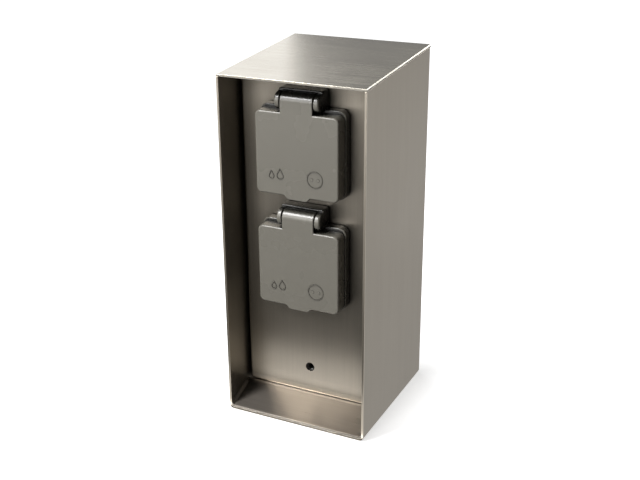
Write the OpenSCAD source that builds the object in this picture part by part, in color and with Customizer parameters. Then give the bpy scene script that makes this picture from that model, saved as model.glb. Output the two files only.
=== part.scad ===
// Garden socket column: a stainless steel casing with a set-back front panel,
// two splash-proof sockets with spring-closed lids, and the wiring inside.
// Millimetres. The origin is the centre of the underside, the front faces -Y.

/* [Casing] */
// Overall width
casing_w = 100; // [96:1:130]
// Overall depth
casing_d = 104; // [98:1:140]
// Height of the front edge
front_h = 232; // [205:1:300]
// How much the roof falls from back to front
roof_fall = 8; // [2:0.5:20]
// Thickness of the casing sheet
sheet = 1.5; // [1:0.1:2.5]
// Outer radius of the bends between the side walls and the bottom
bottom_bend = 3; // [2.6:0.1:5]
// Outer radius of the bends round the back wall
back_bend = 2.6; // [2.6:0.1:5]
// Width of the bevel ground along the roof's welded sides
roof_bevel = 0.6; // [0.2:0.1:1]

/* [Sill] */
// Thickness of the sill sheet
sill_sheet = 1.2; // [0.8:0.1:2]
// How much the sill rises from the front edge to the panel
sill_rise = 8.5; // [6:0.5:12]
// Leg of the seam along the two sides of the sill
sill_seam = 1.6; // [0.8:0.1:2.4]

/* [Front panel] */
// Distance from the casing's front edge to the face of the panel
panel_recess = 24; // [20:0.5:30]
// Thickness of the panel sheet
panel_sheet = 1.5; // [1:0.1:2]
// Gap between the panel and the side walls
panel_gap = 1.5; // [0.8:0.1:3]
// Gap between the panel and the sill
panel_sill_gap = 0.6; // [0.4:0.1:1.5]
// Gap between the panel and the roof
panel_roof_gap = 1.5; // [1:0.1:3]
// Outer radius of the panel's folded edges
panel_bend = 2.2; // [2.1:0.1:3]
// Depth of the flanges at the top and sides
panel_flange = 12; // [8:0.5:16]
// Depth of the bottom flange
panel_foot = 5; // [4:0.5:6]
// Height of the fixing hole above the ground
fixing_z = 31.4; // [28:0.2:36]
// Diameter of the fixing hole
fixing_d = 6.4; // [5:0.1:8]
// Width of the bracket behind the fixing hole
bracket_w = 24; // [18:1:30]
// Thickness of the bracket behind the fixing hole
bracket_t = 1.6; // [1:0.1:2.5]
// Thickness of the nut behind the fixing hole
fixing_nut_t = 5; // [3:0.5:6]
// Thickness of the ledge that the panel's top flange rests on
ledge_sheet = 1.5; // [1:0.1:2.5]

/* [Socket frames] */
// Distance from the roof's front edge down to the upper socket's centre
upper_drop = 47.3; // [43:0.1:55]
// Distance between the two socket centres
socket_pitch = 75; // [73:0.5:80]
// How far the frame stands out beside the lid
frame_border = 0.95; // [0.5:0.05:2]
// How far the frame stands out above the lid
frame_top = 2.4; // [1.8:0.1:3]
// Thickness of the frame plate
frame_t = 5.7; // [4.5:0.1:6.5]
// Corner radius of the frame
frame_corner = 5; // [3:0.5:7]
// Radius of the rounding round the frame's front edge
frame_edge = 0.8; // [0.4:0.1:1.2]
// Thickness of the gasket between frame and panel
gasket_t = 1; // [0.5:0.1:1.5]
// Distance between the fixing screws, across and upwards
screw_spacing = 44; // [43:0.5:46]
// Diameter of the fixing screws
screw_d = 3.5; // [3:0.5:4]
// Clearance of the fixing screws in their holes
screw_clear = 0.3; // [0.2:0.1:0.6]

/* [Plug recess] */
// Diameter of the recess that takes the plug
recess_d = 39.2; // [39:0.1:40]
// Depth of the recess
recess_depth = 17.5; // [16:0.5:18]
// Height of the round rim above the frame plate
rim_h = 3.5; // [2:0.1:4]
// Wall thickness of the round rim
rim_wall = 2.8; // [2.4:0.1:3]
// Wall thickness of the recess cup
cup_wall = 1.8; // [1.4:0.1:2.2]
// Thickness of the recess floor
cup_floor = 2; // [1.5:0.1:3]
// Distance between the two contact sleeves
contact_pitch = 19; // [18.5:0.1:19.5]
// Diameter of a plug pin
plug_pin_d = 4.8; // [4.8:0.1:5]
// Radial clearance of a plug pin in its contact sleeve
contact_clear = 0.03; // [0.01:0.01:0.05]
// Wall thickness of a contact sleeve
contact_wall = 0.8; // [0.6:0.1:1]
// Length of a contact sleeve
contact_l = 9.5; // [8:0.5:12]
// Width of the earth clips
clip_w = 6; // [4:0.5:6.6]
// Thickness of the earth clips
clip_t = 0.8; // [0.5:0.1:1]
// Room between an earth clip and the wall of the recess
clip_set = 1.8; // [1.2:0.1:3]
// Length of an earth clip inside the recess
clip_l = 12; // [8:0.5:14]

/* [Lids] */
// Room inside a lid between the seal and its side walls
lid_side = 3.75; // [2.5:0.05:5]
// Room inside a lid between the seal and its top wall
lid_head = 1.25; // [1:0.05:2]
// Room inside a lid between the seal and its bottom wall
lid_foot = 2.55; // [1:0.05:4]
// Depth of a lid from face to rear edge
lid_depth = 8.85; // [8.5:0.05:10]
// Wall thickness of a lid
lid_wall = 1.8; // [1.2:0.1:2.2]
// How much wider each side of a lid is at its rear edge
lid_draft = 0.3; // [0:0.1:0.5]
// Corner radius of a lid
lid_corner = 3.6; // [2:0.2:6]
// Radius of the rounding round a lid's face
lid_edge = 0.8; // [0.4:0.1:1.2]
// Gap between a closed lid and its frame
lid_gap = 0.3; // [0.2:0.1:0.6]
// Width of the thumb tab at its lower edge
tab_w = 13; // [8:1:18]
// Height of the thumb tab
tab_h = 2.2; // [1:0.2:3]
// Width of each sloping shoulder of the thumb tab
tab_slope = 3; // [1:0.5:5]
// Thickness of the round lid seal
seal_w = 3.6; // [2:0.2:4.2]
// Gap between the lid seal and the rim of the recess
seal_gap = 0.25; // [0.2:0.05:0.5]

/* [Hinges] */
// Width of the hinge barrel
barrel_w = 22.2; // [18:0.2:26]
// Radius of the hinge barrel
barrel_r = 5.85; // [5.6:0.05:6.2]
// Height of the hinge axis above the top of the lid
hinge_rise = 6.4; // [6.4:0.1:7]
// Radius of the ears
ear_r = 5.8; // [5.2:0.1:5.8]
// Thickness of each ear
ear_t = 3.5; // [2.5:0.1:4.5]
// Gap between the barrel and each ear
ear_gap = 0.5; // [0.3:0.1:0.8]
// Height of the hood above the top of the lid
hood_rise = 13.6; // [13.2:0.1:15]
// How far the front edge of the hood stands behind the hinge axis
hood_back = 1; // [0.5:0.1:2]
// Clearance between the barrel and the hood
hood_clear = 0.4; // [0.3:0.1:0.8]
// Corner radius of the hood
hood_corner = 2; // [1:0.2:3]
// Diameter of the hinge pin
pin_d = 3; // [2:0.2:3.4]
// Radial clearance of the pin in the barrel
pin_clear = 0.05; // [0.03:0.01:0.08]
// Outer radius of the closing spring
spring_r = 3.5; // [3:0.1:3.6]
// Length of the closing spring
spring_l = 9; // [6:0.5:11]
// Thickness of the spring wire
spring_wire = 0.9; // [0.6:0.1:1]

/* [Wiring] */
// Diameter of an insulated wire
wire_d = 2.4; // [1.8:0.1:2.8]
// Width of each terminal clamp
clamp_w = 6.6; // [5:0.1:7]
// Height of the terminal block's centre above the ground
block_z = 48; // [46:1:56]
// Height of the terminal block
block_h = 20; // [14:1:24]
// Depth of the terminal block
block_d = 15; // [12:1:18]
// Diameter of the cable entry in the bottom
entry_d = 22; // [18:1:26]
// Bore of the rubber grommet in the cable entry
grommet_bore = 13; // [8:0.5:14]
// Distance of the cable entry behind the casing's centre
entry_back = 6; // [0:1:10]
// Distance between the ground fixing holes, across
ground_x = 72; // [68:1:80]
// Distance between the ground fixing holes, front to back
ground_y = 52; // [46:1:56]
// Distance of the ground fixing holes' centre behind the casing's centre
ground_back = 12; // [8:1:14]
// Diameter of the ground fixing holes
ground_d = 6.6; // [5:0.2:9]

/* [Hidden] */
$fn = 64;

// Places of the main faces
front_y = -casing_d / 2;
back_y = casing_d / 2;
panel_y = front_y + panel_recess;
roof_angle = atan(roof_fall / casing_d);
inner_w = casing_w - 2 * sheet;

// How far a cut runs past its piece, and the gaps between neighbours
past = 1;
slip = 0.1;
loose = 0.4;
lift = 0.4;

// Sizes of the panel and the sill
panel_w = inner_w - 2 * panel_gap;
sill_front_z = sheet + sill_sheet;
panel_low = sill_front_z + sill_rise + panel_sill_gap;
panel_high = front_h - sheet / cos(roof_angle) - panel_roof_gap;
sill_tail = 1;
bracket_back = panel_y + panel_foot + loose;
ledge_arm = 20;
shelf_rise = 12;
bracket_over = 9;
nut_wall = 2.5;
grommet_lip = 2;

// Places in height
upper_z = front_h - upper_drop;
lower_z = upper_z - socket_pitch;

// Outlines of the plug recess, the seal over its rim, the lid and the frame
recess_r = recess_d / 2;
cup_r = recess_r + cup_wall;
rim_r = recess_r + rim_wall;
seal_mid = recess_r + rim_wall / 2;
seal_r = seal_mid + seal_w / 2;
lid_top = seal_r + lid_head + lid_wall;
lid_h = lid_top + seal_r + lid_foot + lid_wall;
lid_w = 2 * (seal_r + lid_side + lid_wall);
frame_w = lid_w + 2 * frame_border;
frame_h = 2 * (lid_top + frame_top);

// Places inside a socket, measured from the panel's face; negative is towards the user
frame_face = -gasket_t - frame_t;
rim_face = frame_face - rim_h;
lid_rear = frame_face - lid_gap;
lid_face = lid_rear - lid_depth;
recess_floor = rim_face + recess_depth;
clip_span = 2 * (recess_r - clip_set - clip_t);
cup_back = recess_floor + cup_floor;
axis_y = lid_face + barrel_r;
axis_z = lid_top + hinge_rise;
ear_in = barrel_w / 2 + ear_gap;
ear_out = ear_in + ear_t;
hood_top = lid_top + hood_rise;
hood_front = axis_y + hood_back;
hood_bore = barrel_r + hood_clear;
hood_low = lid_top + lid_draft + lid_gap;

// Sizes of the socket's inner parts
panel_hole_r = cup_r + loose;
sleeve_in = plug_pin_d / 2 + contact_clear;
sleeve_out = sleeve_in + contact_wall;
floor_hole_r = plug_pin_d / 2 + loose;
sleeve_set = 0.2;
strip_t = 1;
carrier_skin = 1;
carrier_back = cup_back + contact_l;
clamp_t = 6.5;
clamp_h = 8;
clamp_mid = carrier_back + clamp_t / 2;
cover_wall = 1.5;
cover_space = 1;
post_wall = 1;
screw_head_t = 1.5;
cover_inner = carrier_back + clamp_t + screw_head_t + cover_space;
cover_back = cover_inner + cover_wall;
cover_screw_x = cup_r - 3.9;
gasket_inset = 0.3;

// Sizes of the hinge's inner parts
ear_skin = 0.5;
pin_fit = 0.02;
tongue_t = 3.2;
tab_t = 2.8;
leg_skin = 1.5;

// Sizes of the fasteners
head_ratio = 0.9;
nut_ratio = 0.92;
screw_head_r = screw_d * head_ratio;
screw_head_h = 2;
screw_end = 1;
slot_w = 0.8;
nut_t = 2.8;
cover_screw_d = 2.6;
terminal_screw_d = 2.6;
stud_d = 5;
stud_h = 16;
earth_x = 30;
earth_y = 15;
earth_nut_t = 4;

// Sizes of the wiring
wire_y = panel_y + clamp_mid;
wire_end = 0.5;
block_wall = 3;
block_screw_l = 5;
bracket_y = wire_y + block_d / 2;
terminal_w = contact_pitch + clamp_w + 2 * block_wall;
lug_t = 1;
lug_neck = 4;
lug_reach = 10;
lug_sleeve = 7;
lug_wall = 0.8;
bond_drop = 12;

// A rectangle with its two lower corners rounded, standing on its base line
module round_bottom(w, h, r) {
    translate([-w / 2, r])
        square([w, h - r]);
    translate([-w / 2 + r, 0])
        square([w - 2 * r, r + past]);
    for (side = [-1, 1])
        translate([side * (w / 2 - r), r])
            circle(r);
}

// A rectangle with all four corners rounded, centred
module round_rectangle(w, h, r) {
    square([w - 2 * r, h], center = true);
    square([w, h - 2 * r], center = true);
    for (sx = [-1, 1], sz = [-1, 1])
        translate([sx * (w / 2 - r), sz * (h / 2 - r)])
            circle(r);
}

// Turns a flat shape to stand in the X-Z plane and grows it backwards from y
module standing(y, depth) {
    translate([0, y + depth, 0])
        rotate([90, 0, 0])
            linear_extrude(height = depth)
                children();
}

// Grows a flat Y-Z outline along X, centred
module crosswise(w) {
    translate([-w / 2, 0, 0])
        rotate([90, 0, 90])
            linear_extrude(height = w)
                children();
}

// A rod along Y from y, at x and z
module rod_y(x, z, y, length, r) {
    translate([x, y + length, z])
        rotate([90, 0, 0])
            cylinder(h = length, r = r);
}

// A rod along X, centred at y and z
module rod_x(y, z, length, r) {
    translate([-length / 2, y, z])
        rotate([0, 90, 0])
            cylinder(h = length, r = r);
}

// A plate with rounded corners and a rounded front edge, in the X-Z plane
module soft_plate(w, h, depth, corner, edge, y, spread = 0) {
    skin = 0.1;
    hull() {
        for (sx = [-1, 1], sz = [-1, 1])
            translate([sx * (w / 2 - corner), y, sz * (h / 2 - corner)])
                rotate([-90, 0, 0])
                    rotate_extrude($fn = 48)
                        union() {
                            square([corner - edge, edge + skin]);
                            translate([corner - edge, edge])
                                intersection() {
                                    circle(edge, $fn = 24);
                                    translate([0, -edge])
                                        square(edge);
                                }
                        }
        standing(y + depth - skin, skin)
            round_rectangle(w + 2 * spread, h + 2 * spread, corner, $fn = 48);
    }
}

// The body of the casing as a full block with its bends, shrunk by t on every side
module casing_block(t) {
    intersection() {
        standing(front_y - past, casing_d + past - t)
            translate([0, t])
                round_bottom(casing_w - 2 * t, back_y + front_h + past, bottom_bend - t);
        translate([0, back_y - t, 0])
            rotate([0, 0, 180])
                linear_extrude(height = front_h + roof_fall + past)
                    round_bottom(casing_w - 2 * t, casing_d + past, back_bend - t);
    }
}

// Everything above the underside of the roof
module above_roof(drop) {
    translate([0, front_y, front_h])
        rotate([roof_angle, 0, 0])
            translate([-casing_w, -casing_d, -drop])
                cube([2 * casing_w, 3 * casing_d, casing_d]);
}

// Side, back and bottom walls of one folded sheet
module casing() {
    color("silver")
        difference() {
            casing_block(0);
            casing_block(sheet);
            above_roof(sheet);
            translate([-casing_w, front_y - 2 * past, -past])
                cube([2 * casing_w, 2 * past, front_h + 2 * past]);
            for (sx = [-1, 1], sy = [-1, 1])
                translate([sx * ground_x / 2, ground_back + sy * ground_y / 2, -past])
                    cylinder(h = sheet + 2 * past, r = ground_d / 2);
            translate([0, entry_back, -past])
                cylinder(h = sheet + 2 * past, r = entry_d / 2);
            translate([earth_x, earth_y, -past])
                cylinder(h = sheet + 2 * past, r = stud_d / 2);
        }
}

// Sloping roof sheet with the bevels of the ground weld along its sides
module roof_plate() {
    color("gainsboro")
        intersection() {
            translate([0, front_y, front_h])
                rotate([roof_angle, 0, 0])
                    standing(-casing_d, 3 * casing_d)
                        polygon([[-casing_w / 2, -sheet],
                                 [casing_w / 2, -sheet],
                                 [casing_w / 2, -roof_bevel],
                                 [casing_w / 2 - roof_bevel, 0],
                                 [-casing_w / 2 + roof_bevel, 0],
                                 [-casing_w / 2, -roof_bevel]]);
            translate([-casing_w, front_y, 0])
                cube([2 * casing_w, casing_d, 2 * front_h]);
        }
}

// Sloping sill with a rear leg, seamed to the side walls
module sill() {
    slope = sill_rise / panel_recess;
    tail_y = panel_y + sill_tail;
    tail_z = sill_front_z + slope * (panel_recess + sill_tail);
    skin = sill_sheet / cos(atan(slope));
    color("silver")
        intersection() {
            union() {
                crosswise(inner_w)
                    polygon([[front_y, sheet],
                             [front_y, sill_front_z],
                             [tail_y, tail_z],
                             [tail_y, sheet],
                             [tail_y - sill_sheet, sheet],
                             [tail_y - sill_sheet, tail_z - skin - sill_sheet * slope],
                             [front_y + (sheet + skin - sill_front_z) / slope + skin / slope, sheet]]);
                for (side = [0, 1])
                    mirror([side, 0, 0])
                        translate([inner_w / 2, front_y, sill_front_z])
                            rotate([atan(slope), 0, 0])
                                translate([0, panel_recess - panel_gap, 0])
                                    rotate([90, 0, 0])
                                        linear_extrude(height = panel_recess - panel_gap)
                                            polygon([[0, -sill_sheet / 2],
                                                     [0, sill_seam],
                                                     [-sill_seam, 0],
                                                     [-sill_seam, -sill_sheet / 2]]);
            }
            difference() {
                casing_block(sheet);
                translate([-casing_w, front_y - 2 * past, -past])
                    cube([2 * casing_w, 2 * past, front_h]);
            }
        }
}

// A closed block with its front edges and corners rounded to one radius
module soft_block(x, z_low, z_high, y, depth, r) {
    mid = (z_low + z_high) / 2;
    tall = z_high - z_low;
    union() {
        standing(y + r, depth - r)
            translate([0, mid])
                round_rectangle(2 * x, tall, r);
        standing(y, depth)
            translate([0, mid])
                square([2 * x - 2 * r, tall - 2 * r], center = true);
        for (side = [-1, 1]) {
            translate([side * (x - r), y + r, z_low + r])
                cylinder(h = tall - 2 * r, r = r);
            translate([0, 0, mid + side * (tall / 2 - r)])
                rod_x(y + r, 0, 2 * x - 2 * r, r);
            for (up = [-1, 1])
                translate([side * (x - r), y + r, mid + up * (tall / 2 - r)])
                    sphere(r);
        }
    }
}

// Folded front panel with two socket openings and one fixing hole
module front_panel() {
    color("darkgray")
        difference() {
            soft_block(panel_w / 2, panel_low, panel_high, panel_y, panel_flange, panel_bend);
            soft_block(panel_w / 2 - panel_sheet, panel_low + panel_sheet, panel_high - panel_sheet,
                       panel_y + panel_sheet, panel_flange, panel_bend - panel_sheet);
            translate([-casing_w, panel_y + panel_foot, 0])
                cube([2 * casing_w, casing_d, panel_low + panel_bend + past]);
            rod_y(0, fixing_z, panel_y - past, panel_sheet + 2 * past, fixing_d / 2);
            for (n = [0, 1])
                translate([0, 0, lower_z + n * socket_pitch]) {
                    rod_y(0, 0, panel_y - past, panel_sheet + 2 * past, panel_hole_r);
                    for (sx = [-1, 1], sz = [-1, 1])
                        rod_y(sx * screw_spacing / 2, sz * screw_spacing / 2, panel_y - past,
                              panel_sheet + 2 * past, screw_d / 2 + screw_clear);
                }
        }
}

// Angle strip between the side walls that the panel's top flange rests on
module panel_ledge() {
    rest_z = panel_high - panel_sheet;
    color("silver")
        crosswise(panel_w - 2 * panel_bend - 2 * slip)
            polygon([[panel_y + panel_bend + slip, rest_z - ledge_sheet],
                     [panel_y + panel_flange + ledge_sheet + slip, rest_z - ledge_sheet],
                     [panel_y + panel_flange + ledge_sheet + slip, panel_high],
                     [panel_y + panel_flange + slip, panel_high],
                     [panel_y + panel_flange + slip, rest_z],
                     [panel_y + panel_bend + slip, rest_z]]);
    color("silver")
        for (side = [0, 1])
            mirror([side, 0, 0])
                translate([panel_w / 2 - panel_bend - 2 * slip, panel_y + panel_flange + slip,
                           rest_z - ledge_arm])
                    cube([panel_gap + panel_bend + 2 * slip, ledge_sheet, ledge_arm + panel_sheet]);
}

// Folded strip from the bottom up to the back of the panel, with the fixing hole
module fixing_bracket() {
    front = panel_y + panel_sheet;
    shelf_z = panel_low + shelf_rise;
    top_z = fixing_z + bracket_over;
    color("silver")
        difference() {
            crosswise(bracket_w)
                polygon([[front, shelf_z],
                         [front, top_z],
                         [front + bracket_t, top_z],
                         [front + bracket_t, shelf_z + bracket_t],
                         [bracket_back + bracket_t, shelf_z + bracket_t],
                         [bracket_back + bracket_t, sheet],
                         [bracket_back, sheet],
                         [bracket_back, shelf_z]]);
            rod_y(0, fixing_z, front - past, bracket_t + 2 * past, fixing_d / 2);
        }
}

// Square weld nut behind the fixing hole, its thread left out
module fixing_nut() {
    side = fixing_d + 2 * nut_wall;
    color("gray")
        difference() {
            translate([-side / 2, panel_y + panel_sheet + bracket_t, fixing_z - side / 2])
                cube([side, fixing_nut_t, side]);
            rod_y(0, fixing_z, panel_y, 2 * panel_recess, fixing_d / 2);
        }
}

// Rubber grommet pressed into the cable entry, with a lip on the inside
module cable_grommet() {
    color("dimgray")
        translate([0, entry_back, 0])
            difference() {
                union() {
                    translate([0, 0, lift])
                        cylinder(h = sheet + grommet_lip - lift, r = entry_d / 2 - slip);
                    translate([0, 0, sheet])
                        cylinder(h = grommet_lip, r = entry_d / 2 + grommet_lip);
                }
                translate([0, 0, -past])
                    cylinder(h = sheet + grommet_lip + 2 * past, r = grommet_bore / 2);
            }
}

// Folded bracket from the back wall forward to the terminal block
module terminal_bracket() {
    wall_y = back_y - sheet;
    low_z = block_z - block_h / 2;
    high_z = block_z + block_h / 2;
    color("silver")
        difference() {
            crosswise(terminal_w)
                polygon([[bracket_y, low_z],
                         [bracket_y, high_z],
                         [bracket_y + bracket_t, high_z],
                         [bracket_y + bracket_t, low_z + bracket_t],
                         [wall_y - bracket_t, low_z + bracket_t],
                         [wall_y - bracket_t, high_z],
                         [wall_y, high_z],
                         [wall_y, low_z]]);
            for (x = [-1, 1] * contact_pitch / 4)
                rod_y(x, block_z, bracket_y - past, bracket_t + 2 * past, terminal_screw_d / 2 + slip);
        }
}

// Two screws that hold the terminal block on its bracket
module bracket_screws() {
    color("gray")
        for (x = [-1, 1] * contact_pitch / 4) {
            rod_y(x, block_z, bracket_y - block_screw_l, block_screw_l + bracket_t, terminal_screw_d / 2);
            rod_y(x, block_z, bracket_y + bracket_t, screw_head_t, terminal_screw_d * head_ratio);
        }
}

// Housing of the three-pole terminal block, open round each clamp
module terminal_housing() {
    color("whitesmoke")
        difference() {
            translate([-terminal_w / 2, wire_y - block_d / 2, block_z - block_h / 2])
                cube([terminal_w, block_d, block_h]);
            for (x = [-1, 0, 1] * contact_pitch / 2) {
                translate([x - clamp_w / 2 - slip, wire_y - clamp_t / 2 - slip, block_z - clamp_h / 2 - slip])
                    cube([clamp_w + 2 * slip, clamp_t + 2 * slip, clamp_h + 2 * slip]);
                translate([x, wire_y, block_z - block_h])
                    cylinder(h = 2 * block_h, r = wire_d / 2 + slip);
                rod_y(x, block_z, wire_y - block_d, block_d, terminal_screw_d * head_ratio + slip);
            }
            for (x = [-1, 1] * contact_pitch / 4)
                rod_y(x, block_z, bracket_y - block_screw_l - slip, block_d, terminal_screw_d / 2 + slip);
        }
}

// A brass clamp with its wire hole and its screw hole
module clamp(x, y, z, screw_side) {
    difference() {
        translate([x - clamp_w / 2, y - clamp_t / 2, z - clamp_h / 2])
            cube([clamp_w, clamp_t, clamp_h]);
        translate([x, y, z - clamp_h])
            cylinder(h = 2 * clamp_h, r = wire_d / 2 + slip);
        rod_y(x, z, screw_side > 0 ? y : y - clamp_t, clamp_t, terminal_screw_d / 2 + slip);
    }
}

// A clamp screw from the middle of its clamp outwards, stopping short of the wire
module clamp_screw(x, y, z, screw_side) {
    start = wire_d / 2 + slip;
    shank = clamp_t / 2 - start;
    rod_y(x, z, screw_side > 0 ? y + start : y - start - shank, shank, terminal_screw_d / 2);
    rod_y(x, z, screw_side > 0 ? y + clamp_t / 2 : y - clamp_t / 2 - screw_head_t, screw_head_t,
          terminal_screw_d * head_ratio);
}

// The three clamps of the terminal block
module terminal_clamps() {
    color("goldenrod")
        for (x = [-1, 0, 1] * contact_pitch / 2)
            clamp(x, wire_y, block_z, -1);
}

// The three screws of the terminal block
module terminal_screws() {
    color("gray")
        for (x = [-1, 0, 1] * contact_pitch / 2)
            clamp_screw(x, wire_y, block_z, -1);
}

// Threaded stud welded into the bottom, the casing's earth point
module earth_stud() {
    color("goldenrod")
        translate([earth_x, earth_y, lift])
            cylinder(h = stud_h, r = stud_d / 2);
}

// Nut that clamps the earth lug
module earth_nut() {
    color("goldenrod")
        translate([earth_x, earth_y, sheet + lug_t])
            difference() {
                cylinder(h = earth_nut_t, r = stud_d * nut_ratio, $fn = 6);
                translate([0, 0, -past])
                    cylinder(h = earth_nut_t + 2 * past, r = stud_d / 2);
            }
}

// Ring lug on the earth stud, with the sleeve that grips the bonding wire
module earth_lug() {
    color("goldenrod")
        translate([earth_x, earth_y, sheet])
            difference() {
                union() {
                    cylinder(h = lug_t, r = stud_d);
                    translate([-lug_reach, -lug_neck / 2, 0])
                        cube([lug_reach, lug_neck, lug_t]);
                    translate([-lug_reach, 0, 0])
                        cylinder(h = lug_sleeve, r = wire_d / 2 + lug_wall);
                }
                translate([0, 0, -past])
                    cylinder(h = lug_t + 2 * past, r = stud_d / 2);
                translate([-lug_reach, 0, lug_t])
                    cylinder(h = lug_sleeve, r = wire_d / 2);
            }
}

// A wire's stretch along Z, from one end's height to the other's
module wire_rise(x, y, z_low, z_high) {
    translate([x, y, z_low])
        cylinder(h = z_high - z_low, r = wire_d / 2);
}

// Wire from the lug up, forward and across to the middle clamp of the terminal block
module bonding_wire() {
    lug_x = earth_x - lug_reach;
    turn_z = block_z - block_h / 2 - bond_drop;
    color("olive") {
        wire_rise(lug_x, earth_y, sheet + lug_t, turn_z);
        rod_y(lug_x, turn_z, wire_y, earth_y - wire_y, wire_d / 2);
        translate([lug_x / 2, 0, 0])
            rod_x(wire_y, turn_z, lug_x, wire_d / 2);
        wire_rise(0, wire_y, turn_z, block_z - wire_end);
        for (bend = [[lug_x, earth_y], [lug_x, wire_y], [0, wire_y]])
            translate([bend[0], bend[1], turn_z])
                sphere(wire_d / 2);
    }
}

// One pole's wires: from the terminal block to the lower socket and on to the upper one
module pole_wire(x, shade) {
    color(shade) {
        wire_rise(x, wire_y, block_z + wire_end, lower_z - wire_end);
        wire_rise(x, wire_y, lower_z + wire_end, upper_z - wire_end);
    }
}
module live_wire() {
    pole_wire(contact_pitch / 2, "sienna");
}
module neutral_wire() {
    pole_wire(-contact_pitch / 2, "royalblue");
}
module earth_wire() {
    pole_wire(0, "olive");
}

// Places a socket's part at the height of socket n, 0 the lower and 1 the upper one
module at_socket(n) {
    translate([0, panel_y, lower_z + n * socket_pitch])
        children();
}

// Side outline of the hinge bracket without its barrel room, in Y and Z
module bracket_outline() {
    translate([axis_y, axis_z])
        circle(ear_r);
    translate([hood_front, hood_low])
        square([-gasket_t - hood_front, hood_top - hood_low]);
}

// Frame, recess cup and hinge bracket of one socket
module socket_body() {
    color("dimgray")
        difference() {
            union() {
                soft_plate(frame_w, frame_h, frame_t, frame_corner, frame_edge, frame_face);
                rod_y(0, 0, rim_face, rim_h + past, rim_r);
                rod_y(0, 0, frame_face, cup_back - frame_face, cup_r);
                intersection() {
                    crosswise(2 * ear_out)
                        bracket_outline();
                    standing(axis_y - ear_r - past, ear_r - axis_y + past)
                        translate([0, (hood_top + hood_low) / 2])
                            round_rectangle(2 * ear_out, hood_top - hood_low, hood_corner);
                }
            }
            rod_y(0, 0, rim_face - past, cup_back - rim_face + 2 * past, recess_r);
            rod_x(axis_y, axis_z, 2 * ear_in, hood_bore);
            translate([-ear_in, axis_y - ear_r - past, hood_low - past])
                cube([2 * ear_in, ear_r + past + hood_back, hood_top - hood_low + 2 * past]);
            rod_x(axis_y, axis_z, 2 * (ear_out - ear_skin), pin_d / 2 + pin_fit);
            for (sx = [-1, 1], sz = [-1, 1])
                translate([sx * screw_spacing / 2, 0, sz * screw_spacing / 2]) {
                    rod_y(0, 0, frame_face - past, frame_t + gasket_t + 2 * past,
                          screw_d / 2 + screw_clear);
                    rod_y(0, 0, frame_face - past, screw_head_h + past + slip, screw_head_r + screw_clear);
                }
        }
}

// Plate that closes the recess cup, with the two contact holes and the slots of the earth clips
module recess_plate() {
    color("dimgray")
        difference() {
            rod_y(0, 0, recess_floor, cup_floor, recess_r - slip);
            for (side = [-1, 1]) {
                rod_y(side * contact_pitch / 2, 0, recess_floor - past, cup_floor + 2 * past, floor_hole_r);
                translate([0, 0, side * (clip_span / 2 + clip_t / 2)])
                    translate([-clip_w / 2 - slip, recess_floor - past, -clip_t / 2 - slip])
                        cube([clip_w + 2 * slip, cup_floor + 2 * past, clip_t + 2 * slip]);
            }
        }
}

// Flat rubber gasket between the frame and the panel
module gasket() {
    color("black")
        difference() {
            standing(-gasket_t, gasket_t)
                round_rectangle(frame_w - 2 * gasket_inset, frame_h - 2 * gasket_inset, frame_corner);
            rod_y(0, 0, -gasket_t - past, gasket_t + 2 * past, panel_hole_r);
            for (sx = [-1, 1], sz = [-1, 1])
                rod_y(sx * screw_spacing / 2, sz * screw_spacing / 2, -gasket_t - past,
                      gasket_t + 2 * past, screw_d / 2 + screw_clear);
        }
}

// Lid: a shallow cap whose tongue runs up into the hinge barrel
module lid() {
    mid_z = lid_top - lid_h / 2;
    color("gray")
        difference() {
            union() {
                translate([0, 0, mid_z])
                    soft_plate(lid_w, lid_h, lid_depth, lid_corner, lid_edge, lid_face, lid_draft);
                standing(lid_face, tongue_t)
                    translate([-barrel_w / 2, lid_top - 2 * lid_edge])
                        square([barrel_w, hinge_rise + 2 * lid_edge]);
                rod_x(axis_y, axis_z, barrel_w, barrel_r);
                standing(lid_face + lid_edge / 2, tab_t)
                    translate([0, lid_top - lid_h])
                        polygon([[-tab_w / 2, -tab_h],
                                 [tab_w / 2, -tab_h],
                                 [tab_w / 2 + tab_slope, lid_edge],
                                 [-tab_w / 2 - tab_slope, lid_edge]]);
            }
            standing(lid_face + lid_wall, lid_depth)
                translate([0, mid_z])
                    round_rectangle(lid_w - 2 * lid_wall, lid_h - 2 * lid_wall, lid_corner - lid_wall / 2);
            rod_x(axis_y, axis_z, barrel_w + 2 * past, pin_d / 2 + pin_clear);
            rod_x(axis_y, axis_z, spring_l + 2 * slip, spring_r + hood_clear);
            spring_leg(1, barrel_r + past, slip);
            spring_leg(-1, barrel_r - leg_skin, slip);
        }
}

// Round rubber seal on the inside of the lid, over the rim of the recess
module lid_seal() {
    front = lid_face + lid_wall;
    color("black")
        difference() {
            rod_y(0, 0, front, rim_face - seal_gap - front, seal_r);
            rod_y(0, 0, front - past, rim_face - front + 2 * past, seal_mid - seal_w / 2);
        }
}

// Steel pin through the ears and the barrel
module hinge_pin() {
    color("silver")
        rod_x(axis_y, axis_z, 2 * (ear_out - ear_skin - slip), pin_d / 2);
}

// One straight leg of the closing spring, from the axis backwards or forwards, grown by a gap
module spring_leg(side, reach, gap) {
    translate([side * (spring_l - spring_wire) / 2 - spring_wire / 2 - gap,
               side > 0 ? axis_y : axis_y - reach,
               axis_z + side * (spring_r - spring_wire / 2) - spring_wire / 2 - gap])
        cube([spring_wire + 2 * gap, reach, spring_wire + 2 * gap]);
}

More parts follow.
